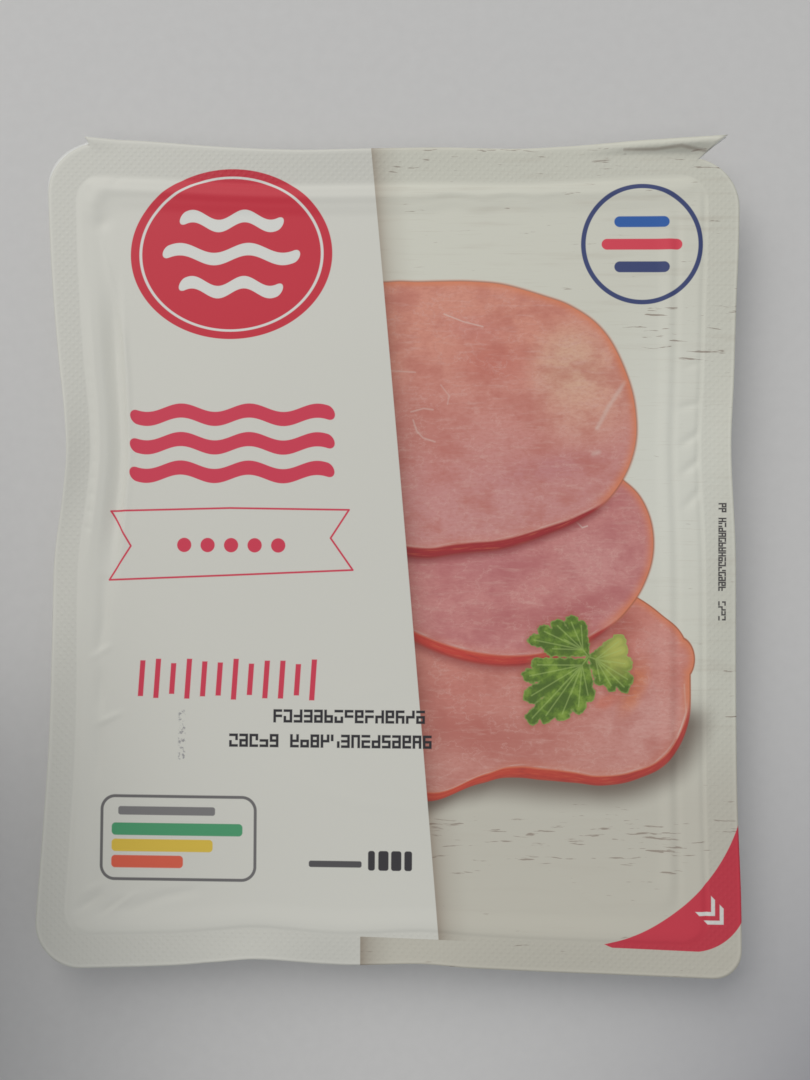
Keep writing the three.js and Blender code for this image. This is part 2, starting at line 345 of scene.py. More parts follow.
def seen_from(side, x, y):
    """Place along a side, how far from the middle towards it (1 at the edge), and the side's half length."""
    if side in ("left", "right"):
        return y, x / HALF_WIDTH * (-1 if side == "left" else 1), HALF_LENGTH
    return x, y / HALF_LENGTH * (-1 if side == "bottom" else 1), HALF_WIDTH


def line_through(knots, value):
    """A smooth line through knots of (place, height), with the slope at each taken from its neighbours."""
    places, heights = np.array(knots, float).T
    before = np.maximum(np.arange(len(knots)) - 1, 0)
    after = np.minimum(np.arange(len(knots)) + 1, len(knots) - 1)
    slopes = (heights[after] - heights[before]) / (places[after] - places[before])
    index = np.clip(np.searchsorted(places, value) - 1, 0, len(places) - 2)
    span = places[index + 1] - places[index]
    share = np.clip((value - places[index]) / span, 0, 1)
    bend = share * share * (3 - 2 * share)
    return (heights[index] * (1 - bend) + heights[index + 1] * bend
            + span * share * (1 - share) * (slopes[index] * (1 - share) - slopes[index + 1] * share))


def drawn_in(x, y):
    """Moves points of the straight-sided plan to where the vacuum has drawn them."""
    moved_x, moved_y = x.copy(), y.copy()
    for side in SIDES:
        along, towards, _ = seen_from(side, x, y)
        shift = line_through(DRAWN[side], along) * np.clip(towards, 0, None) ** PULL_FADE
        if side in ("left", "right"):
            moved_x += shift if side == "left" else -shift
        else:
            moved_y += shift if side == "bottom" else -shift
    return moved_x, moved_y


def plan_loop(left, right, bottom, top, radii, side_steps, corner_steps):
    """A rounded rectangle, counter-clockwise from the start of the bottom side."""
    middles = (
        (right - radii[0], bottom + radii[0]), (right - radii[1], top - radii[1]),
        (left + radii[2], top - radii[2]), (left + radii[3], bottom + radii[3]),
    )
    loop = []
    for corner in range(4):
        before, here = (corner + 3) % 4, corner
        start_angle = 0.5 * math.pi * (corner - 1)
        outwards = np.array([math.cos(start_angle), math.sin(start_angle)])
        start = np.add(middles[before], radii[before] * outwards)
        end = np.add(middles[here], radii[here] * outwards)
        for step in range(side_steps[corner % 2]):
            loop.append(start + (end - start) * step / side_steps[corner % 2])
        for step in range(corner_steps):
            angle = start_angle + 0.5 * math.pi * step / corner_steps
            loop.append(np.add(middles[here], radii[here] * np.array([math.cos(angle), math.sin(angle)])))
    return np.array(loop)


# How finely the film is meshed: points along each short side, long side and corner, and the step from loop to
# loop on the seal, beside the groove, further in and in the middle.
SHORT_STEPS, LONG_STEPS, CORNER_STEPS = 280, 344, 28
SEAL_STEP, GROOVE_STEP, MIDDLE_STEP, CORE_STEP = 0.5, 0.5, 1.0, 1.25
GROOVE_REACH, CORE_REACH, CORE_END = 15, 40, 74
MOST_ROUNDED = 0.45


def flange_plan(share, wider=0.0):
    """The loop at one share of the way from the punched edge to the cavity."""
    radii = [OUTER_RADII[corner] * (1 - share) + CAVITY_RADIUS * share for corner in CORNERS]
    loop = plan_loop(
        -HALF_WIDTH + share * FLANGE["left"] - wider, HALF_WIDTH - share * FLANGE["right"] + wider,
        -HALF_LENGTH + share * FLANGE["bottom"] - wider, HALF_LENGTH - share * FLANGE["top"] + wider,
        radii, (SHORT_STEPS, LONG_STEPS), CORNER_STEPS)
    return loop[:, 0], loop[:, 1]


def cavity_plan(depth):
    """The loop at one distance in from the cavity's edge."""
    left, right = -HALF_WIDTH + FLANGE["left"] + depth, HALF_WIDTH - FLANGE["right"] - depth
    bottom, top = -HALF_LENGTH + FLANGE["bottom"] + depth, HALF_LENGTH - FLANGE["top"] - depth
    radius = min(CAVITY_RADIUS + RADIUS_GROWTH * depth, MOST_ROUNDED * min(right - left, top - bottom))
    loop = plan_loop(left, right, bottom, top, [radius] * 4, (SHORT_STEPS, LONG_STEPS), CORNER_STEPS)
    return loop[:, 0], loop[:, 1]


# The corner punch stops short of the top edge. At the top right it leaves a horn over a notch, at the left
# a small spur. Each mark is a place along the loop, how far it is moved, and whether the flange follows it.
TOP_RIGHT_ARC = SHORT_STEPS + CORNER_STEPS + LONG_STEPS
TOP_LEFT_ARC = TOP_RIGHT_ARC + CORNER_STEPS + SHORT_STEPS
PUNCH_DROP = 4.3
PUNCH_MARKS = (
    (TOP_RIGHT_ARC - 24, (0, 0, 0), True),
    (TOP_RIGHT_ARC, (0, -PUNCH_DROP, 0), True),
    (TOP_RIGHT_ARC + 24, (0, -PUNCH_DROP, 0), True),
    (TOP_RIGHT_ARC + 28, (9.0, -0.1, 1.4), False),
    (TOP_RIGHT_ARC + 41, (0, 0, 0), False),
    (TOP_LEFT_ARC - 8, (0, 0, 0), False),
    (TOP_LEFT_ARC, (-4.2, 0.4, 0.4), False),
    (TOP_LEFT_ARC + 5, (0.5, -0.7, 0), True),
    (TOP_LEFT_ARC + 17, (0, -0.5, 0), True),
    (TOP_LEFT_ARC + 28, (0, 0, 0), True),
)
HORN_SHARE = 0.32


def punched(x, y, share):
    """Moves the loop's points at the corner marks, and gives how far each is lifted."""
    lift = np.zeros_like(x)
    knots = [mark[0] for mark in PUNCH_MARKS]
    for axis, line in enumerate((x, y, lift)):
        moves = []
        for _, move, followed in PUNCH_MARKS:
            weight = 1 - share if followed else max(0.0, 1 - share / HORN_SHARE)
            moves.append(move[axis] * weight)
        line += np.interp(np.arange(len(x)), knots, moves, left=0, right=0)
    return x, y, lift


# The loose strip at the right of the top edge: where its curl starts and is full along the edge, how high it
# stands, and how far in from the edge its crest and foot lie.
CURL_START, CURL_FULL = 42, 68
CURL_RISE, CURL_EDGE_RISE = 1.7, 1.0
CURL_OUTSIDE, CURL_CREST, CURL_FOOT = -0.4, 1.5, 3.2
BUCKLE_BAND = (0.8, 1)
SEAL_WIDTH = 7.6
SEAL_START, SEAL_END = (0.7, 1.1), (0.93, 1.0)


def curl_lift(x, y):
    """The strip along the top right edge stands up at a crease and rolls over towards the edge."""
    inwards = HALF_LENGTH - y
    climb = 1 - ease(inwards, CURL_CREST, CURL_FOOT)
    roll = 1 - (1 - CURL_EDGE_RISE / CURL_RISE) * (1 - ease(inwards, CURL_OUTSIDE, CURL_CREST))
    return CURL_RISE * ease(x, CURL_START, CURL_FULL) * climb * roll


def flange_lift(x, y, share):
    lift = np.zeros_like(x)
    for side, at, length, rise in BUCKLES:
        along, towards, _ = seen_from(side, x, y)
        lift += rise * swell(along, at, length) * ease(towards, *BUCKLE_BAND)
    return lift * (1 - share)


def seal_share(share):
    """1 where the sealing plate has pressed, 0 on the lip outside it and on the cavity inside it."""
    return ease(share * SEAL_WIDTH, *SEAL_START) * (1 - ease(share, *SEAL_END))


def flange_height(x, y, share):
    return RIM_HEIGHT + flange_lift(x, y, share) + curl_lift(x, y)


# How the film runs inwards from the seal on each side, as the depth in from the cavity's edge and the height.
# Over the void on the left it is sucked into a groove; elsewhere it rolls over the rim onto the slices.
PROFILES = {
    "left": ((0, 0), (1.2, 0.10), (3.2, 0.04), (6, -0.10), (9, 0.02), (14, 0.12), (40, 0.45)),
    "right": ((0, 0), (0.5, -0.10), (1.7, 0.20), (5.4, 0.16), (6.8, 0.0), (8.6, 0.34), (11.4, 0.08),
              (16, 0.12), (40, 0.45)),
    "bottom": ((0, 0), (0.9, 0.30), (2.2, 0.34), (6.5, 0.05), (12, 0.04), (40, 0.45)),
    "top": ((0, 0), (0.5, -0.06), (1.6, 0.26), (3.6, 0.52), (5.6, 0.25), (8.4, 0.0), (14, 0.05), (40, 0.45)),
}
GROOVE = ((0, 0), (1.0, 0.06), (2.6, 0.30), (4.0, 0.10), (8.2, -1.25), (9.4, -0.85), (10.8, 0.14),
          (12.5, 0.04), (40, 0.45))
GROOVE_TOP, GROOVE_BOTTOM = (70, 46), (-14, 12)
SCALLOPS = ((14.7, 1.3), (28.2, 1.6), (39.0, 0.8))
SCALLOP_LENGTH = 3.2
SCALLOP_FROM, SCALLOP_TO = (1.5, 4), (6, 12)
EASED_SHARE = 0.7
SIDE_BLEND = 4
LEAST_DISTANCE = 0.2


def run_through(knots, value):
    """A line through the knots, eased but not level at each of them."""
    places, heights = np.array(knots).T
    index = np.clip(np.searchsorted(places, value) - 1, 0, len(places) - 2)
    low, high = places[index], places[index + 1]
    share = np.clip((value - low) / (high - low), 0, 1)
    curved = share * share * (3 - 2 * share)
    share = EASED_SHARE * curved + (1 - EASED_SHARE) * share
    return heights[index] + (heights[index + 1] - heights[index]) * share


def side_height(side, along, depth):
    if side == "top":
        deeper = sum(size * swell(along, at, SCALLOP_LENGTH) for at, size in SCALLOPS)
        deeper = deeper * ease(depth, *SCALLOP_FROM) * (1 - ease(depth, *SCALLOP_TO))
        return run_through(PROFILES[side], depth + deeper)
    height = run_through(PROFILES[side], depth)
    if side == "left":
        sucked = ease(along, *GROOVE_TOP) * ease(along, *GROOVE_BOTTOM)
        height = height + (run_through(GROOVE, depth) - height) * sucked
    return height


def film_height(x, y):
    """The lid film over the cavity, at points of the straight-sided plan."""
    felt, height = 0, 0
    distances = []
    for side in SIDES:
        along, towards, half_side = seen_from(side, x, y)
        reach = HALF_WIDTH if half_side == HALF_LENGTH else HALF_LENGTH
        distances.append((side, along, np.maximum(LEAST_DISTANCE, reach * (1 - towards) - FLANGE[side])))
    depth = sum(distance ** -SIDE_BLEND for _, _, distance in distances) ** (-1 / SIDE_BLEND)
    for side, along, distance in distances:
        near = distance ** -SIDE_BLEND
        height = height + near * side_height(side, along, depth)
        felt = felt + near
    return RIM_HEIGHT + height / felt


# Creases and dents in the drawn film: the points that each runs through, its half width and its height.
CREASES = (
    (((-69.4, 73.7), (-66.6, 63.1), (-64.0, 52.0), (-62.7, 41.4), (-62.5, 28.7)), 0.6, 0.16),
    (((-72.0, 82.0), (-70.0, 86.5)), 2.3, 0.40),
    (((-70.5, 77.8), (-68.2, 79.4)), 1.5, -0.30),
    (((-67.4, 88.2), (-66.2, 88.6), (-65.2, 89.6)), 0.35, -0.22),
    (((68.3, 34.3), (73.0, 35.5)), 0.9, -0.22),
    (((68.7, 25.6), (73.6, 29.1)), 1.0, -0.30),
    (((69.0, 19.0), (73.6, 22.8)), 1.0, -0.32),
    (((69.4, 10.8), (73.6, 15.7)), 1.0, -0.28),
    (((69.7, 44.0), (73.2, 45.0)), 0.8, -0.14),
    (((-72.9, -84.7), (-67.5, -81.2)), 1.0, -0.36),
    (((-67.5, -85.8), (-62.8, -82.3)), 0.9, -0.28),
    (((-61.1, -84.6), (-52.6, -81.4), (-44.6, -79.7)), 1.3, -0.26),
    (((-71.6, -80.8), (-67.3, -78.6)), 0.7, 0.20),
    (((-66.0, -85.6), (-59.0, -80.6)), 0.6, 0.22),
    (((-67.7, -7.4), (-67.6, -16.5), (-68.6, -23.7)), 1.3, -0.42),
    (((-70.1, -25.3), (-66.0, -22.7)), 0.8, 0.22),
    (((-68.3, -29.5), (-68.2, -37.1)), 1.3, -0.34),
    (((-68.9, -41.1), (-63.4, -38.5)), 0.8, 0.22),
    (((-68.6, -42.0), (-68.4, -52.6)), 1.4, -0.28),
    (((39.7, -75.4), (50.4, -82.2)), 1.0, 0.06),
    (((58.2, -74.3), (63.5, -78.1)), 0.8, 0.05),
    (((-58.3, -9.4), (-56.1, -14.1), (-51.8, -18.1)), 1.0, 0.05),
    (((-13.7, -34.2), (-5.4, -33.2), (2.1, -30.8)), 1.0, 0.05),
    (((-24.6, -50.7), (-15.8, -56.0), (-6.4, -58.9), (5.3, -60.4)), 1.2, 0.06),
)
# A row of small dents beside the seal on the left, where the tray's rim is pinched in.
DENTS = ((-72.8, 44.3), (-72.5, 40.7), (-72.0, 36.4), (-71.7, 33.0), (-71.6, 29.5), (-71.3, 25.6),
         (-71.0, 21.5), (-71.2, 17.5), (-71.4, 13.6), (-71.8, 9.6), (-72.0, 5.5))
DENT_RUN = (0.7, -0.5)
DENT_WIDTH, DENT_DEPTH = 0.5, -0.13
CREASE_END, CREASE_SPAN = 0.15, 0.7
CREASE_START = (0.2, 1.2)


def crease_height(x, y):
    total = np.zeros_like(x)
    dents = tuple((tuple(np.subtract(dent, DENT_RUN)), tuple(np.add(dent, DENT_RUN))) for dent in DENTS)
    for points, width, rise in CREASES + tuple((points, DENT_WIDTH, DENT_DEPTH) for points in dents):
        nearest = np.full_like(x, np.inf)
        share_along = np.zeros_like(x)
        spans = list(zip(points[:-1], points[1:]))
        for number, (start, end) in enumerate(spans):
            run = np.subtract(end, start)
            share = np.clip(((x - start[0]) * run[0] + (y - start[1]) * run[1]) / (run @ run), 0, 1)
            gap = np.hypot(x - start[0] - share * run[0], y - start[1] - share * run[1])
            share_along = np.where(gap < nearest, (number + share) / len(spans), share_along)
            nearest = np.minimum(nearest, gap)
        fade = np.sin(math.pi * (CREASE_END + CREASE_SPAN * share_along))
        total += rise * fade * np.exp(-((nearest / width) ** 2))
    return total


def woven(rings):
    """Faces between loops that follow each other; a loop may have half the points of the one before."""
    points, faces, first = [], [], 0
    for number, ring in enumerate(rings):
        count = len(ring)
        points.extend(ring)
        if number:
            before, before_count = first - len(rings[number - 1]), len(rings[number - 1])
            if before_count == count:
                for step in range(count):
                    following = (step + 1) % count
                    faces.append((before + step, before + following, first + following, first + step))
            else:
                for step in range(count):
                    following = (step + 1) % count
                    outer = before + 2 * step
                    last = before + (2 * step + 2) % before_count
                    faces.append((outer, outer + 1, first + step))
                    faces.append((outer + 1, first + following, first + step))
                    faces.append((outer + 1, last, first + following))
        first += count
    count = len(rings[-1])
    points.append(tuple(np.mean(rings[-1], axis=0)))
    for step in range(count):
        faces.append((first - count + step, first - count + (step + 1) % count, first))
    return points, faces


def web_object(name, rings):
    """A mesh object from loops in millimetres."""
    points, faces = woven(rings)
    mesh = bpy.data.meshes.new(name)
    mesh.from_pydata([tuple(MM * np.array(point)) for point in points], [], faces)
    mesh.polygons.foreach_set("use_smooth", [True] * len(mesh.polygons))
    mesh.update()
    made = bpy.data.objects.new(name, mesh)
    bpy.context.collection.objects.link(made)
    return made


film_rings, pressed = [], []
seal_rings = round(SEAL_WIDTH / SEAL_STEP)
for ring in range(seal_rings + 1):
    share = ring / seal_rings
    x, y, lift = punched(*flange_plan(share), share)
    z = flange_height(x, y, share) + lift
    x, y = drawn_in(x, y)
    film_rings.append(np.stack([x, y, z], axis=1))
    pressed += [float(seal_share(share))] * len(x)
depths = list(np.arange(GROOVE_STEP, GROOVE_REACH, GROOVE_STEP))
depths += list(np.arange(GROOVE_REACH, CORE_REACH, MIDDLE_STEP))
depths += list(np.arange(CORE_REACH, CORE_END, CORE_STEP))
for depth in depths:
    x, y = cavity_plan(depth)
    z = film_height(x, y)
    x, y = drawn_in(x, y)
    z = z + crease_height(x, y) * ease(depth, *CREASE_START)
    thinning = 1 if depth < GROOVE_REACH else 2 if depth < CORE_REACH else 4
    film_rings.append(np.stack([x, y, z], axis=1)[::thinning])
film = web_object("lid_film_web", film_rings)
seal = film.data.attributes.new("seal", "FLOAT", "POINT")
pressed += [0.0] * (len(film.data.vertices) - len(pressed))
seal.data.foreach_set("value", pressed)
body = film.modifiers.new("web", "SOLIDIFY")
body.thickness = FILM_THICKNESS * MM
body.offset = -1

# The print: thin inks laid one over another on the face of the white film, before it is sealed and cut. Each
# field of ink is a mask from the place on the film, 1 inside its shape and 0 outside.
INK_EDGE = 0.12
PATCH_FADE = (1.0, 0.1)
WHITE_INK = ink(190, 189, 181)
RED_INK = ink(180, 49, 64)
BLACK_INK = ink(30, 28, 33)
PALE_INK = ink(206, 200, 192)

film_finish, shader, place = new_material("printed_film")
x, y, _ = place.parts()
spot = place.vector("MULTIPLY", (1, 1, 0))


def inside(distance, soft=INK_EDGE):
    return distance.smooth(soft, -soft)


def both(first, second):
    return first.sum("MAXIMUM", second)


def either(first, *others):
    for other in others:
        first = first.sum("MINIMUM", other)
    return first


def along_segment(spot, start, end):
    """How far a point is from a straight line between two others, and how far along it, from 0 to 1."""
    run = np.subtract(end, start)
    past = spot.vector("SUBTRACT", tuple(start) + (0,))
    share = past.vector("DOT_PRODUCT", tuple(run / (run @ run)) + (0,)).clamped()
    inputs = {0: tuple(run) + (0,), "Scale": share}
    nearest = share.node("ShaderNodeVectorMath", {"operation": "SCALE"}, inputs)
    return past.vector("DISTANCE", nearest), share


def from_segment(spot, start, end):
    return along_segment(spot, start, end)[0]


def from_line(spot, points):
    return either(*[from_segment(spot, start, end) for start, end in zip(points[:-1], points[1:])])


def from_box(x, y, middle, size, radius=0.0):
    """How far a point is outside a rectangle with rounded corners; below 0 inside it."""
    over_x = abs(x - middle[0]) - (size[0] / 2 - radius)
    over_y = abs(y - middle[1]) - (size[1] / 2 - radius)
    past_x, past_y = over_x.risen(), over_y.risen()
    apart = (past_x.sum("POWER", 2.0) + past_y.sum("POWER", 2.0)).root()
    return apart + both(over_x, over_y).sum("MINIMUM", 0.0) - radius


def by_angle(turn, values, full):
    """A value that runs smoothly round a point, from values at even steps of the turn, from the left."""
    count = len(values)
    knots = [(index / count, value / full) for index, value in enumerate(values + values[:1])]
    return turn.curve(knots) * full


def multiplied(mask, under, over):
    """A colour darkened by another where the mask is 1."""
    settings = {"data_type": "RGBA", "blend_type": "MULTIPLY"}
    return mask.node("ShaderNodeMix", settings, {0: mask, 6: under, 7: over}, 2)


def spot_mask(x, y, middle, reach, tilt=0.0):
    """1 in the middle of a soft oval patch, fading to 0 at its reach."""
    cosine, sine = math.cos(math.radians(tilt)), math.sin(math.radians(tilt))
    run_x, run_y = x - middle[0], y - middle[1]
    along = (run_x * cosine + run_y * sine) / reach[0]
    across = (run_y * cosine - run_x * sine) / reach[1]
    return (along * along + across * across).root().smooth(*PATCH_FADE)


# The table printed on the right of the film: planks painted white, with the grain running across and a few
# darker cracks, more of them where the paint is worn. It is the lowest ink, and the rest is printed over it.
WOOD_INK = ink(190, 189, 177)
PAINTED_SHEEN_INK = ink(199, 198, 187)
GRAIN_INK = ink(174, 169, 156)
CRACK_AND_CURL_SHADOW_INK = ink(132, 119, 108)
LOWER_WOOD_INK = ink(173, 169, 157)
GRAIN_PITCH, HAIR_PITCH = (0.035, 0.40, 0), (0.08, 2.4, 0)
CRACK_PITCH = (0.13, 1.25)
CRACK_LAYER = 7.3
CRACK_WAVE, CRACK_WAVE_PITCH = 1.6, (0.11, 0.11, 0)
CRACK_LEVEL, SOUND_WOOD = 0.615, 0.075
# Where the painted shadow under the loose strip's curl runs.
CURL_SHADOW_LINE = ((55.1, 95.6), (62.4, 95.6), (68.3, 96.2), (74.2, 95.3))

grain = place.stretched(GRAIN_PITCH, 3.0, 0.55)
wood = mixed(grain.smooth(0.50, 0.85) * 0.7, WOOD_INK, GRAIN_INK)
# Painted sheen: a broad patch at the middle right of the wood is lighter.
wood = mixed(spot_mask(x, y, (66, 20), (24, 56)) * 0.9, wood, PAINTED_SHEEN_INK)
wood = mixed(y.smooth(-30.0, -62.0) * 0.8, wood, LOWER_WOOD_INK)
hair = place.stretched(HAIR_PITCH, 3.0, 0.6)
wood = mixed(hair.smooth(0.58, 0.72) * 0.32, wood, GRAIN_INK)
bent = y + place.stretched(CRACK_WAVE_PITCH, 1.0) * CRACK_WAVE
crack_place = bent.joined(x * CRACK_PITCH[0], bent * CRACK_PITCH[1], CRACK_LAYER)
worn_right = abs(y - 54.0) - 9.0 + (66.0 - x).risen()
worn = either(abs(y + 68.0) - 8.0, worn_right, abs(y - 94.0) - 3.5)
cracked = CRACK_LEVEL + worn.smooth(-3.0, 3.0) * SOUND_WOOD
cracks = (crack_place.noise(1.0, 3.0, 0.6) - cracked).smooth(0.0, 0.07)
wood = mixed(cracks * 0.8, wood, CRACK_AND_CURL_SHADOW_INK)
# Painted shadow: a dark line along the foot of the loose strip's curl at the top right, in the crack ink.
wood = mixed(from_line(spot, CURL_SHADOW_LINE).smooth(0.5, 0.0) * 0.55, wood, CRACK_AND_CURL_SHADOW_INK)


# Three round slices of smoked loin, printed as laid over one another down the right of the film: pink with
# paler fibres, an orange rim, and the cut side as a redder band along the lower edge. Outlines and the width
# of the cut side run round from straight left.
SMOKED_INK = ink(198, 116, 80)
RIM_LINE_INK = ink(146, 84, 60)
FIBRE_INK = ink(210, 158, 148)
GLINT_INK = ink(226, 178, 168)
DEEP_INK = ink(116, 40, 44)

FIBRE_PITCH, MOTTLE_PITCH = (0.13, 0.9, 0), (0.10, 0.13, 0)
THREAD_PITCH, THREAD_START = (0.17, 0.24, 0), (9.0, 2.0, 0)
FINE_PITCH = (0.8, 1.6, 0)
WIDEST_CUT, WIDEST_SLICE = 6.0, 60.0
FACE_FADE = (-24.0, 24.0)
RIM_REACH, RIM_STRENGTH = 3.4, 0.85

fibres = place.stretched(FIBRE_PITCH, 4.0, 0.65)
mottle = place.stretched(MOTTLE_PITCH, 4.0, 0.6)
web = place.stretched(THREAD_PITCH, 4.0, 0.6, THREAD_START)
threads = abs(web - 0.5).smooth(0.022, 0.0) * mottle.smooth(0.62, 0.46)
fine = place.stretched(FINE_PITCH, 4.0, 0.7)


# A slice's patches are a middle, reach, tilt, strength and ink each; its strands points, width and strength.
def laid_slice(under, middle, outline, cut, inks, patches, strands, shadow, side_shades, knob=None):
    """One printed slice over what is under it: its shadow, its face and rim, and its cut side.

    The shadow is its reach, strength and ink, and how soft the slice's own edge is. The cut side's shades are
    how dark it gets at its foot, and how much of the smoked ink its upper edge takes."""
    upper, lower, dark, cut_left, cut_right = inks
    shadow_reach, shadow_strength, shadow_ink, edge_softness = shadow
    dark_foot, smoked_edge = side_shades
    run_x, run_y = x - middle[0], y - middle[1]
    turn = run_y.sum("ARCTAN2", run_x) * (0.5 / math.pi) + 0.5
    cut_width = by_angle(turn, cut, WIDEST_CUT)
    reach = (run_x * run_x + run_y * run_y).root()
    within = by_angle(turn, outline, WIDEST_SLICE) + cut_width - reach
    if knob:
        knob_x, knob_y = (x - knob[0][0]) / knob[1][0], (y - knob[0][1]) / knob[1][1]
        within = both(within, (1.0 - (knob_x * knob_x + knob_y * knob_y).root()) * min(knob[1]))
    low_side = (cut_width - 0.2).smooth(0.0, 0.8)
    shade = (-within).smooth(shadow_reach, 0.0) * low_side * shadow_strength
    under = mixed(shade, under, shadow_ink)
    face = mixed((y - middle[1]).smooth(*FACE_FADE), lower, upper)
    for patch_middle, reach, tilt, strength, patch_ink in patches:
        face = mixed(spot_mask(x, y, patch_middle, reach, tilt) * strength, face, patch_ink)
    face = mixed(mottle.smooth(0.42, 0.68) * 0.52, face, dark)
    face = mixed(fibres.smooth(0.50, 0.74) * 0.40, face, FIBRE_INK)
    face = mixed(threads * 0.32, face, FIBRE_INK)
    face = mixed(fine.smooth(0.38, 0.72) * 0.34, face, dark)
    for points, width, strength in strands:
        face = mixed(from_line(spot, points).smooth(width, 0.0) * strength, face, GLINT_INK)
    inner = within - cut_width
    rim = inner.smooth(RIM_REACH, 0.0)
    face = mixed(rim * rim * (RIM_STRENGTH - low_side * 0.7), face, SMOKED_INK)
    streaks = turn.joined(turn * 34.0, within * 1.7, middle[1]).noise(1.0, 3.0, 0.6)
    side = mixed(x.smooth(8.0, 72.0), cut_left, cut_right)
    side = mixed(streaks.smooth(0.50, 0.74) * 0.30, side, SMOKED_INK)
    side = mixed(streaks.smooth(0.50, 0.30) * 0.30, side, DEEP_INK)
    side = mixed((within / cut_width).smooth(0.78, 1.02) * smoked_edge, side, SMOKED_INK)
    side = mixed((within / cut_width).smooth(0.45, 0.0) * dark_foot, side, DEEP_INK)
    pale = abs(inner - 0.35).smooth(0.45, 0.0) * low_side * streaks.smooth(0.40, 0.60)
    face = mixed(pale * 0.28, face, GLINT_INK)
    face = mixed(inside(inner, 0.3) * low_side, face, side)
    line = abs(within - 0.12).smooth(0.34, 0.08) * (1.0 - low_side * 0.8) * 0.8
    face = mixed(line, face, RIM_LINE_INK)
    return mixed(inside(-within, edge_softness), under, face)


picture = laid_slice(
    wood, (36, -30),
    (39, 41, 42.6, 37.0, 24.9, 20.6, 20.3, 21.6, 25.3, 29.6, 33.4, 34.5, 34.5, 35.0, 32.0, 29.2, 26.6, 24.6,
     24.3, 26, 30, 34, 37, 38),
    (0, 0, 3.0, 2.9, 2.7, 2.7, 2.7, 2.7, 2.6, 2.2, 1.6, 0.9, 0.2, 0, 0, 0, 0, 0, 0, 0, 0, 0, 0, 0),
    (ink(188, 120, 108), ink(182, 126, 116), ink(164, 94, 84), ink(178, 66, 48), ink(160, 54, 48)),
    (((58.9, -38.9), (17, 14), 30, 0.75, ink(192, 144, 136)),
     ((14.6, -34.6), (16, 12), 0, 0.45, ink(174, 100, 90)),
     ((57.5, -31.0), (4.0, 10.0), -22, 0.85, ink(196, 116, 70)),
     ((51.4, -34.4), (5.5, 2.4), 30, 0.6, ink(190, 98, 70)),
     ((53.5, -15.2), (9, 5), -42, 0.8, ink(150, 74, 64)),
     ((22, -43), (27, 8), -4, 0.6, ink(158, 84, 74)),
     ((63.5, -22.0), (7, 9), 0, 0.5, ink(194, 146, 138))),
    ((((69.2, -30.5), (69.6, -37.0), (67.6, -43.0)), 0.35, 0.5),),
    (8.0, 0.92, ink(100, 88, 78), 0.15), (0.35, 0.6), ((67.8, -24.6), (3.9, 5.4)))
picture = laid_slice(
    picture, (26, 2),
    (36, 35, 32, 28.9, 26.9, 26.0, 26.0, 26.8, 28.2, 30.2, 33.0, 35.3, 36.3, 35.6, 32.4, 29, 27, 25.5,
     24.5, 26, 28.5, 31, 34, 35),
    (2.2, 2.2, 2.2, 2.3, 2.5, 2.6, 2.6, 2.4, 2.0, 1.2, 0.4, 0, 0, 0, 0, 0, 0, 0, 0, 0, 0, 0, 0, 2.2),
    (ink(180, 118, 114), ink(184, 124, 120), ink(160, 88, 90), ink(178, 58, 48), ink(142, 50, 50)),
    (((49.6, -1.6), (15, 12), 0, 0.7, ink(188, 134, 130)),
     ((24.0, -2.0), (18, 9), 0, 0.5, ink(164, 98, 102)),
     ((44.5, -13.5), (17, 5), 22, 0.6, ink(156, 84, 84)),
     ((30.0, -16.0), (22, 5), -3, 0.4, ink(160, 90, 88))),
    ((((44.0, 7.4), (45.4, 6.0), (46.6, 6.4)), 0.3, 0.7),),
    (2.6, 0.75, ink(136, 64, 60), 0.35), (0.5, 0.5))
picture = laid_slice(
    picture, (18, 34),
    (42, 41, 40, 38.4, 36.5, 34.2, 31.8, 32.1, 33.2, 36.2, 39.8, 41.0, 40.1, 38.7, 37.5, 34.9, 32.1, 31.0,
     30.6, 31.6, 35.2, 40, 41, 42),
    (2.7, 2.7, 2.7, 2.7, 2.7, 2.6, 2.5, 2.3, 2.0, 1.4, 0.4, 0, 0, 0, 0, 0, 0, 0, 0, 0, 0, 0, 0, 2.7),
    (ink(194, 132, 114), ink(182, 126, 122), ink(166, 92, 80), ink(146, 38, 42), ink(138, 40, 44)),
    (((46.0, 39.0), (17, 19), -20, 0.85, ink(208, 152, 132)),
     ((42.0, 45.0), (12, 13), 0, 0.6, ink(218, 166, 140)),
     ((24.0, 45.0), (13, 8), -8, 0.6, ink(176, 96, 84)),
     ((20.0, 53.0), (13, 5), -6, 0.35, ink(176, 104, 102)),
     ((8.0, 30.0), (10, 14), 0, 0.5, ink(170, 102, 90)),
     ((22.0, 10.0), (30, 12), 8, 0.45, ink(186, 136, 132)),
     ((38.0, 20.0), (20, 5), 12, 0.4, ink(168, 108, 112))),
    ((((12.7, 56.5), (17.2, 54.7), (21.9, 53.5)), 0.30, 0.55),
     (((48.9, 29.5), (51.7, 34.8), (55.4, 40.4)), 0.9, 0.40),
     (((48.0, 23.4), (49.2, 23.8)), 1.0, 0.35),
     (((5.0, 33.2), (8.0, 34.0), (10.2, 33.7)), 0.35, 0.4),
     (((5.5, 31.3), (6.4, 28.6), (7.9, 27.0), (10.7, 26.1)), 0.35, 0.4),
     (((-0.5, 43.0), (6.0, 42.6)), 0.3, 0.35),
     (((12.0, 39.6), (14.0, 37.0), (13.6, 35.0)), 0.3, 0.3)),
    (2.2, 0.75, ink(128, 54, 56), 0.45), (0.6, 0.15))

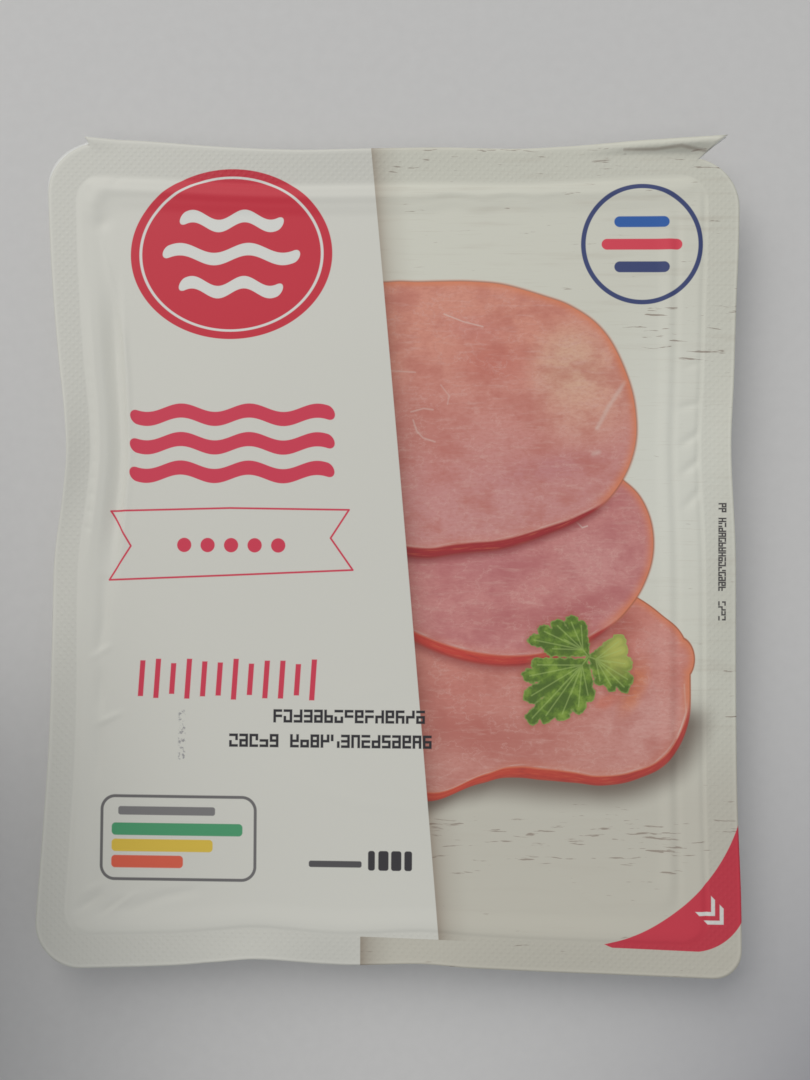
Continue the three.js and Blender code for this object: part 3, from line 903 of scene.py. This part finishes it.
# The white panel over the left of the print: bare film, cut along a slanting line, with a soft shadow printed
# along it. The film's next repeat starts below the end of the print, with the panel's edge back where it is
# at the top.
PANEL_EDGE, PANEL_SLANT, PANEL_BULGE = 3.9, -0.0915, 0.3
PANEL_SHADOW = (0.60, 0.53, 0.49, 1)
SHADOW_LENGTH, SHADOW_END = 2.7, (5.0, 9.0)
NEXT_EDGE = -6.1
END_PLACE, END_SLANT = -90.05, -0.0297

print_end = y - x * END_SLANT - END_PLACE
below = inside(print_end, 0.08)
bulge = (1.0 - (y / HALF_LENGTH).sum("POWER", 2.0)) * PANEL_BULGE
edge_place = y * PANEL_SLANT + PANEL_EDGE + bulge
edge_place = edge_place + below * (NEXT_EDGE - edge_place)
beyond_edge = x - edge_place
picture = mixed(below, picture, wood)
shade = (beyond_edge.risen() * (-1 / SHADOW_LENGTH)).sum("EXPONENT")
shade = shade * (1.0 - beyond_edge.smooth(*SHADOW_END))
picture = multiplied(shade, picture, PANEL_SHADOW)


def wavy(spot_x, spot_y, middle, length, waves, height, width):
    """A stripe with rounded ends that rises and falls evenly."""
    swing = ((spot_x - middle[0]) * (2 * math.pi * waves / length)).sum("SINE")
    off = abs(spot_y - middle[1] - swing * height)
    over = (abs(spot_x - middle[0]) - (length / 2 - width / 2)).risen()
    return (off * off + over * over).root() - width / 2


def drawn(place):
    """A number from 0 to 1 drawn for each place, the same each time."""
    return place.node("ShaderNodeTexWhiteNoise", {"noise_dimensions": "3D"}, {"Vector": place})


CELL_HALF_WIDTH = 0.30
STROKES_LEFT_OUT, MARKS_LEFT_OUT = 0.36, 0.12


def stamped(spot_x, spot_y, left, middle, pitch, height, cells, stroke, seed):
    """A row of made-up marks, each a few strokes of a grid of seven, as a stamp too small to read."""
    along = (spot_x - left) / pitch
    cell = along.sum("FLOOR")
    across = (along - cell - 0.5) * pitch
    half_width, half_height = CELL_HALF_WIDTH * pitch, (height - stroke) / 2
    up = spot_y - middle
    row = (up / half_height).sum("ROUND").sum("MINIMUM", 1.0).sum("MAXIMUM", -1.0)
    side = across.sum("SIGN") + up.sum("SIGN") * 2.0
    lines = []
    for index, off in ((row + 10.0, both(abs(up - row * half_height), abs(across) - half_width)),
                       (side, both(abs(abs(across) - half_width), abs(up) - half_height))):
        there = drawn(cell.joined(cell, index, seed))
        lines.append(inside(off - stroke / 2) * there.sum("GREATER_THAN", STROKES_LEFT_OUT))
    inside_row = inside(abs(along - cells / 2) - cells / 2, 0.02)
    kept = drawn(cell.joined(cell, 40.5, seed))
    return both(lines[0], lines[1]) * inside_row * kept.sum("GREATER_THAN", MARKS_LEFT_OUT)


# The opening corner, which is printed where the film is gripped: a red field in the curve of a circle, with
# two pale chevrons that point at the corner.
CORNER_CENTRE = (41.6, -49.6)
CORNER_RADIUS = 42.2
CHEVRON_TIP = (76.2, -83.9)
CHEVRON_LINE, CHEVRON_REACH = 0.45, 2.6
DIAGONAL = 0.707
curve = CORNER_RADIUS - spot.vector("DISTANCE", CORNER_CENTRE + (0,))
corner_end = from_box(x, y, (63.8, -66.15), (40, 52.3), 12.9)
corner_field = both(curve, both(corner_end, -print_end))
picture = mixed(inside(corner_field), picture, RED_INK)

turned_x = (x - CHEVRON_TIP[0]) * DIAGONAL - (y - CHEVRON_TIP[1]) * DIAGONAL
turned_y = (x - CHEVRON_TIP[0]) * DIAGONAL + (y - CHEVRON_TIP[1]) * DIAGONAL
for offset in (2.2, -0.6):
    chevron = abs(abs(turned_y) + turned_x - offset) * DIAGONAL
    chevron = both(chevron - CHEVRON_LINE, abs(turned_y) - CHEVRON_REACH)
    picture = mixed(inside(chevron), picture, PALE_INK)

# At the top right, a thin navy ring with three bars.
NAVY_INK = ink(52, 62, 104)
BLUE_INK = ink(38, 84, 152)
SCARLET_INK = ink(196, 60, 76)
RING_MIDDLE = (59.4, 73.2)
RING_RADIUS, RING_LINE = 13.8, 0.55
RING_BAR = 2.6
ring = abs(spot.vector("DISTANCE", RING_MIDDLE + (0,)) - RING_RADIUS)
picture = mixed(inside(ring - RING_LINE), picture, NAVY_INK)
for rise, length, bar_ink in ((5.4, 13.0, BLUE_INK), (0.0, 19.0, SCARLET_INK), (-5.4, 13.0, NAVY_INK)):
    middle = (RING_MIDDLE[0], RING_MIDDLE[1] + rise)
    bar = from_box(x, y, middle, (length, RING_BAR), RING_BAR / 2)
    picture = mixed(inside(bar), picture, bar_ink)

# Small dark ticks up the right edge.
TICK_INK = ink(54, 50, 52)
TICK_PITCH, TICK_HEIGHT, TICK_STROKE = 1.15, 1.8, 0.34
TICK_START, TICK_COUNT = (-15.6, 78.1), 24.0
marks = stamped(y, x, *TICK_START, TICK_PITCH, TICK_HEIGHT, TICK_COUNT, TICK_STROKE, 5.5)
picture = mixed(marks, picture, TICK_INK)

# At the top left, a plain red oval with a thin pale ring inside it and three wavy rashers.
OVAL_MIDDLE = (-38.2, 71.0)
OVAL_SIZE = (48.4, 41.0)
OVAL_INK = ink(180, 34, 52)
OVAL_REACH = 22.0
oval_x = (x - OVAL_MIDDLE[0]) / (OVAL_SIZE[0] / 2)
oval_y = (y - OVAL_MIDDLE[1]) / (OVAL_SIZE[1] / 2)
oval = (oval_x * oval_x + oval_y * oval_y).root()
panel = mixed(inside((oval - 1.0) * OVAL_REACH), WHITE_INK, OVAL_INK)
panel = mixed(inside(abs(oval - 0.9) * OVAL_REACH - 0.3), panel, PALE_INK)
for rise, length in ((8.0, 25.0), (0.0, 33.0), (-8.0, 25.0)):
    stripe = wavy(x, y, (OVAL_MIDDLE[0], OVAL_MIDDLE[1] + rise), length, 2.0, 1.2, 3.0)
    panel = mixed(inside(stripe), panel, PALE_INK)

# Below it, three bold wavy rashers in rose.
ROSE_INK = ink(187, 50, 72)
RASHER_MIDDLE, RASHER_RISES = -37.5, (32.4, 25.6, 18.8)
RASHER_LENGTH, RASHER_WIDTH = 49.0, 3.4
for rise in RASHER_RISES:
    stripe = wavy(x, y, (RASHER_MIDDLE, rise), RASHER_LENGTH, 3.0, 1.0, RASHER_WIDTH)
    panel = mixed(inside(stripe), panel, ROSE_INK)

# A ribbon drawn in one thin line, with a row of discs on it.
RIBBON = ((-66.5, 9.4), (-37.8, 10.2), (-9.5, 9.9), (-13.8, 3.2), (-8.5, -4.3), (-37.7, -5.7), (-66.5, -7.0),
          (-61.4, 1.1), (-66.5, 9.4))
RIBBON_LINE = 0.22
DISC_PITCH, DISC_RADIUS, DISC_COUNT = 5.6, 1.7, 5
DISC_MIDDLE = (-37.4, 1.4)
outline = from_line(spot, RIBBON) - RIBBON_LINE
disc_along = (x - DISC_MIDDLE[0]) / DISC_PITCH
disc_cell = disc_along.sum("ROUND").sum("MINIMUM", DISC_COUNT // 2).sum("MAXIMUM", -(DISC_COUNT // 2))
disc_x, disc_y = (disc_along - disc_cell) * DISC_PITCH, y - DISC_MIDDLE[1]
discs = (disc_x * disc_x + disc_y * disc_y).root() - DISC_RADIUS
panel = mixed(inside(either(outline, discs)), panel, ROSE_INK)

# A row of twelve upright strokes.
TALLY_PITCH, TALLY_STROKE = 3.7, 1.25
TALLY_MIDDLE = (-38.0, -30.2)
TALLY_COUNT = 12
TALLY_LEAN = 0.06
TALLY_RISE, TALLY_VARIES = 3.6, 0.6
tally_along = (x - TALLY_MIDDLE[0]) / TALLY_PITCH + TALLY_COUNT / 2
tally_cell = tally_along.sum("FLOOR")
tally_x = (tally_along - tally_cell - 0.5) * TALLY_PITCH - (y - TALLY_MIDDLE[1]) * TALLY_LEAN
tall = (tally_cell * 2.4).sum("SINE") * TALLY_VARIES + TALLY_RISE
tally = both(abs(tally_x), abs(y - TALLY_MIDDLE[1]) - tall) - TALLY_STROKE / 2
tally_row = inside(abs(tally_along - TALLY_COUNT / 2) - TALLY_COUNT / 2, 0.02)
panel = mixed(inside(tally) * tally_row, panel, ROSE_INK)

# At the bottom left, a grey frame with a dash and three bars of different lengths.
FRAME_INK = ink(96, 94, 94)
frame_box = from_box(x, y, (-49.2, -67.6), (36.4, 19.4), 3.2)
panel = mixed(inside(abs(frame_box) - 0.35), panel, FRAME_INK)
panel = mixed(inside(from_box(x, y, (-52.0, -61.3), (23.0, 2.0), 0.6)), panel, ink(110, 108, 108))
for rise, length, bar_ink in ((-65.6, 31.0, ink(64, 138, 96)), (-69.4, 24.0, ink(222, 168, 60)),
                              (-73.2, 17.0, ink(206, 84, 62))):
    bar = from_box(x, y, (-65.0 + length / 2, rise), (length, 2.9), 0.9)
    panel = mixed(inside(bar), panel, bar_ink)

# At the end of the panel, a thin bar and four dark blocks.
panel = mixed(inside(from_box(x, y, (-12.1, -73.2), (12.4, 1.5), 0.5)), panel, ink(70, 68, 70))
for middle, width in ((-3.6, 1.6), (-0.8, 2.4), (2.2, 2.4), (5.0, 1.8)):
    panel = mixed(inside(from_box(x, y, (middle, -72.3), (width, 4.6), 0.6)), panel, ink(44, 42, 46))

# The stamp, jetted on the sealed pack in black: two rows of small made-up marks, and a column of smudges.
STAMP_PITCH, STAMP_HEIGHT, STAMP_STROKE = 2.4, 3.1, 0.62
SMUDGE_INK = ink(120, 118, 122)
for left, middle, cells, seed in ((-29.5, -38.7, 16, 3.5), (-37.5, -44.5, 21, 8.5)):
    marks = stamped(x, y, left, middle, STAMP_PITCH, STAMP_HEIGHT, float(cells), STAMP_STROKE, seed)
    panel = mixed(marks, panel, BLACK_INK)
    picture = mixed(marks, picture, BLACK_INK)
smudge = place.vector("MULTIPLY", (0.9, 0.9, 0)).noise(1.0, 4.0, 0.7).smooth(0.50, 0.62)
column = from_box(x, y, (-48.6, -43.4), (1.6, 11.6), 0.4).smooth(0.3, -0.3)
panel = mixed(smudge * column * 0.8, panel, SMUDGE_INK)

# The parsley printed over the slices: three fans of rounded lobes, each on a wide body, spreading from one
# stalk. A fan is its base, then the tip and radius of each lobe.
LEAF_INK = ink(96, 124, 42)
LEAF_LIGHT_INK = ink(132, 156, 66)
LEAF_DARK_INK = ink(72, 96, 34)
LEAF_SUN_INK = ink(162, 166, 84)
LEAF_SHADOW_INK = ink(150, 78, 62)
VEIN_INK = ink(158, 178, 104)
STEM_WIDTH = 0.5
RAGGED_PITCH, RAGGED_DEPTH = (0.75, 0.75, 0), 1.3
LEAF_TONE_PITCH = (0.30, 0.30, 0)
STALK = (46.9, -24.2)
LEAF_BASE = 1.7
LEAF_FANS = (
    ((45.6, -22.6), ((41.2, -20.2, 3.0), (38.5, -22.4, 1.9), (34.2, -20.4, 1.5), (36.6, -18.4, 1.6),
                     (39.6, -17.0, 1.6), (42.9, -16.2, 1.7), (45.2, -17.0, 1.4))),
    ((48.6, -24.8), ((52.0, -25.6, 3.4), (53.9, -20.6, 1.7), (54.6, -22.6, 1.6), (55.4, -25.8, 1.9),
                     (56.0, -29.4, 1.5), (55.2, -31.2, 1.5), (52.2, -30.9, 1.5), (49.6, -29.8, 1.3))),
    ((45.4, -26.2), ((40.4, -31.4, 4.3), (42.8, -33.0, 3.8), (35.0, -26.2, 1.6), (33.2, -28.8, 1.8),
                     (33.6, -33.4, 2.0), (33.8, -38.6, 1.7), (37.0, -38.0, 1.9), (40.8, -37.6, 1.8),
                     (44.6, -35.8, 1.8), (46.8, -33.2, 1.7))),
)
leaf, vein = None, None
for base, lobes in LEAF_FANS:
    stem = from_segment(spot, STALK, base)
    leaf = either(leaf, stem - STEM_WIDTH) if leaf else stem - STEM_WIDTH
    vein = either(vein, stem) if vein else stem
    for tip_x, tip_y, radius in lobes:
        off, share = along_segment(spot, base, (tip_x, tip_y))
        leaf = either(leaf, off - share * (radius - LEAF_BASE) - LEAF_BASE)
        vein = either(vein, off)
ragged = place.stretched(RAGGED_PITCH, 1.0)
leaf = leaf + (ragged - 0.5) * RAGGED_DEPTH
leaf_shadow = leaf.smooth(1.5, -0.2) * 0.45
leafy = mixed(leaf_shadow, picture, LEAF_SHADOW_INK)
leaf_tone = place.stretched(LEAF_TONE_PITCH, 3.0, 0.6)
green = mixed(leaf_tone.smooth(0.38, 0.62), LEAF_DARK_INK, LEAF_INK)
green = mixed(leaf_tone.smooth(0.50, 0.70) * 0.6, green, LEAF_LIGHT_INK)
green = mixed(spot_mask(x, y, (54.5, -22.5), (8, 9)), green, LEAF_SUN_INK)
green = mixed(leaf.smooth(-0.45, -0.1) * 0.40, green, VEIN_INK)
green = mixed(vein.smooth(0.5, 1.3) * 0.22, green, LEAF_DARK_INK)
green = mixed(vein.smooth(0.26, 0.05) * 0.38, green, VEIN_INK)
leafy = mixed(inside(leaf), leafy, green)

# The dimples that the sealing plate has pressed into the flange, in rows half a pitch apart. They are too
# shallow to change the film's shape. The pressed film is a little darker, partly its own look where it lies
# on the tray and partly painted shade.
DIMPLE_PITCH = 1.9
DIMPLE_DEPTH = 0.034
SEALED_SHADE = (0.93, 0.93, 0.93, 1)
seal = place.node("ShaderNodeAttribute", {"attribute_name": "seal"}, {}, 2)
TURN_PER_MM = 2 * math.pi / DIMPLE_PITCH
waves = (x * TURN_PER_MM).sum("COSINE") * (y * TURN_PER_MM).sum("COSINE")
bumped(shader, waves.smooth(0.1, 0.9) * seal, DIMPLE_DEPTH * MM)

# The three kinds of print share one gloss: the panel, the picture, and the picture where the leaf is.
PRINT_ROUGHNESS = 0.5
LEAF_ZONE = ((44.5, -28.0), (32.0, 30.0))


def printed(shader, colour):
    # The sealed flange is darkened, partly as painted shade.
    fed(shader, "Base Color", multiplied(seal, colour, SEALED_SHADE))
    shader.inputs["Roughness"].default_value = PRINT_ROUGHNESS
    return Value(shader.outputs[0])


def another(shader):
    """A second shader beside the first, with the same normal."""
    made = shader.id_data.nodes.new("ShaderNodeBsdfPrincipled")
    shader.id_data.links.new(shader.inputs["Normal"].links[0].from_socket, made.inputs["Normal"])
    return made


with_leaf = printed(another(shader), leafy)
without_leaf = printed(another(shader), picture)
zone_x = abs(x - LEAF_ZONE[0][0]) - LEAF_ZONE[1][0] / 2
zone_y = abs(y - LEAF_ZONE[0][1]) - LEAF_ZONE[1][1] / 2
near_leaf = both(zone_x, zone_y).sum("LESS_THAN", 0.0)
right_print = near_leaf.node("ShaderNodeMixShader", {}, {0: near_leaf, 1: without_leaf, 2: with_leaf})
on_panel = inside(beyond_edge)
panel_print = printed(shader, panel)
whole_print = on_panel.node("ShaderNodeMixShader", {}, {0: on_panel, 1: right_print, 2: panel_print})
surface = film_finish.node_tree.nodes["Material Output"].inputs["Surface"]
whole_print.tree.links.new(whole_print.socket, surface)
film.data.materials.append(film_finish)
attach(film, "root")
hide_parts("lid_film")

# The tray: a glossy white web of polyester, thermoformed into a shallow dish with a flat flange that the film
# is sealed to. The same punch cuts both, and at the two top corners the tray's edge shows just outside the
# film's. It follows only part of the film's curl, and its floor has faint ribs across it.
WEB_THICKNESS = 0.4
WEB_GAP = 0.02
LIP_SHOWING = ((TOP_RIGHT_ARC, 0.06), (TOP_LEFT_ARC, 0.45))
TRAY_LAG = 0.55
RIM_FILLET = 0.8
WALL_DRAFT = math.radians(14)
FOOT_RADIUS = 3.5
FLOOR_RISE = 0.35
RIB_RISE, RIB_PITCH = 0.18, 9.0
FLOOR_STEP = 1.5
FLOOR_BLEND, RIB_START, RIB_FULL = 4, 2, 16
FILLET_STEPS, WALL_STEPS, FOOT_STEPS = 5, 9, 8
TRAY_INK, TRAY_CLOUD_INK = ink(198, 198, 194), ink(192, 192, 189)
TRAY_CLOUD_PITCH = (0.12, 0.12, 0.12)
TRAY_ROUGHNESS = 0.3

tray_top_gap = FILM_THICKNESS + WEB_GAP
web_under = tray_top_gap + WEB_THICKNESS
tray_rings = []
place_round = np.arange(2 * (SHORT_STEPS + LONG_STEPS + 2 * CORNER_STEPS))
shown = 0
for start, width in LIP_SHOWING:
    shown = shown + width * swell(place_round, start + CORNER_STEPS / 2, CORNER_STEPS * 0.42)
for ring in range(seal_rings + 1):
    share = ring / seal_rings
    x, y = flange_plan(share)
    wide_x, wide_y = flange_plan(share, 1.0)
    stretch = shown * max(0.0, 1 - 3 * share)
    x, y, lift = punched(x + (wide_x - x) * stretch, y + (wide_y - y) * stretch, share)
    z = flange_height(x, y, share) + lift - web_under - TRAY_LAG * (curl_lift(x, y) + lift)
    x, y = drawn_in(x, y)
    tray_rings.append(np.stack([x, y, z], axis=1)[::2])
rim_top = RIM_HEIGHT - web_under
wall_run = (rim_top - RIM_FILLET - FOOT_RADIUS) * math.tan(WALL_DRAFT)
runs = [(RIM_FILLET * math.sin(angle), rim_top - RIM_FILLET * (1 - math.cos(angle)))
        for angle in np.linspace(0, math.pi / 2, FILLET_STEPS + 1)[1:]]
runs += [(RIM_FILLET + wall_run * step / WALL_STEPS,
          rim_top - RIM_FILLET - (rim_top - RIM_FILLET - FOOT_RADIUS) * step / WALL_STEPS)
         for step in range(1, WALL_STEPS + 1)]
runs += [(RIM_FILLET + wall_run + FOOT_RADIUS * (1 - math.cos(angle)), FOOT_RADIUS * (1 - math.sin(angle)))
         for angle in np.linspace(0, math.pi / 2, FOOT_STEPS + 1)[1:]]
foot_depth = runs[-1][0]
for depth, height in runs:
    x, y = drawn_in(*cavity_plan(depth))
    tray_rings.append(np.stack([x, y, np.full_like(x, height)], axis=1)[::2])
for depth in np.arange(foot_depth + 1, CORE_END, FLOOR_STEP):
    x, y = drawn_in(*cavity_plan(depth))
    ribs = RIB_RISE * (0.5 - 0.5 * np.cos(2 * math.pi * y / RIB_PITCH))
    height = FLOOR_RISE * ease(depth, foot_depth, foot_depth + FLOOR_BLEND)
    height = height + ribs * ease(depth, foot_depth + RIB_START, RIB_FULL)
    thinning = 2 if depth < GROOVE_REACH else 4
    tray_rings.append(np.stack([x, y, height], axis=1)[::thinning])
tray = web_object("tray_web", tray_rings)
wall = tray.modifiers.new("web", "SOLIDIFY")
wall.thickness = WEB_THICKNESS * MM
wall.offset = 1

tray_finish, shader, place = new_material("tray_web")
cloud = place.stretched(TRAY_CLOUD_PITCH, 3.0)
fed(shader, "Base Color", mixed(cloud, TRAY_INK, TRAY_CLOUD_INK))
shader.inputs["Roughness"].default_value = TRAY_ROUGHNESS
tray.data.materials.append(tray_finish)
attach(tray, "root")
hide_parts("filled_tray")

sizes = {"cad": cad_box, "visual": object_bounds()}
sizes = {name: [list(map(float, corner)) for corner in box] for name, box in sizes.items()}
